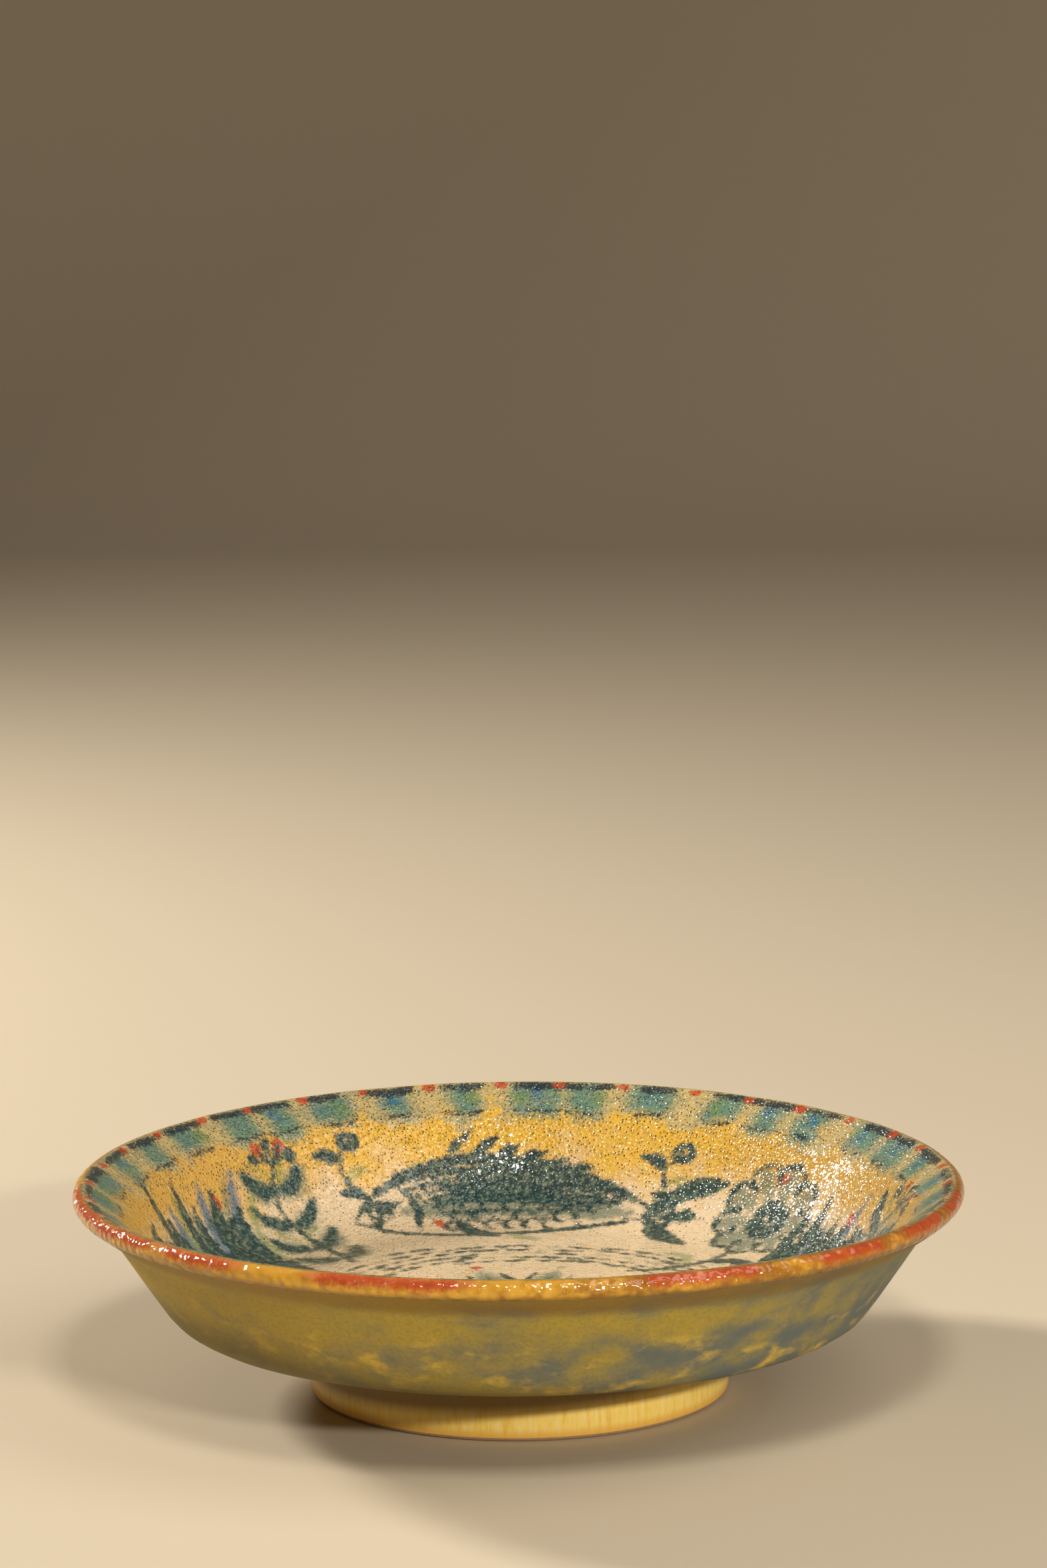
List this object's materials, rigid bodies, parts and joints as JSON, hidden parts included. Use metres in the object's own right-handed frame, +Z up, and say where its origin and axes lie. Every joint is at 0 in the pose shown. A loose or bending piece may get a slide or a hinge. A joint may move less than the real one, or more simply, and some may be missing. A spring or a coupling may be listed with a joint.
{
  "type": "painted ceramic bowl",
  "caption": "Shallow glazed ceramic bowl with a flared rounded rim, painted inside, standing on a turned foot ring.",
  "frame": {"origin": "centre of the foot ring's underside, on the surface the bowl stands on", "axes": "+Z up along the axis the bowl was thrown on, -Y towards the picture's viewer, +X to the viewer's right"},
  "size_m": [0.22, 0.22, 0.0534],
  "materials": {
    "glazed_stoneware": "glossy ochre glaze over painted decoration, with a pitted orange-peel surface inside, a satin olive mottle outside and an unglazed edge under the foot"
  },
  "bodies": {
    "root": {"bowl": "glazed_stoneware"}
  },
  "joints": []
}
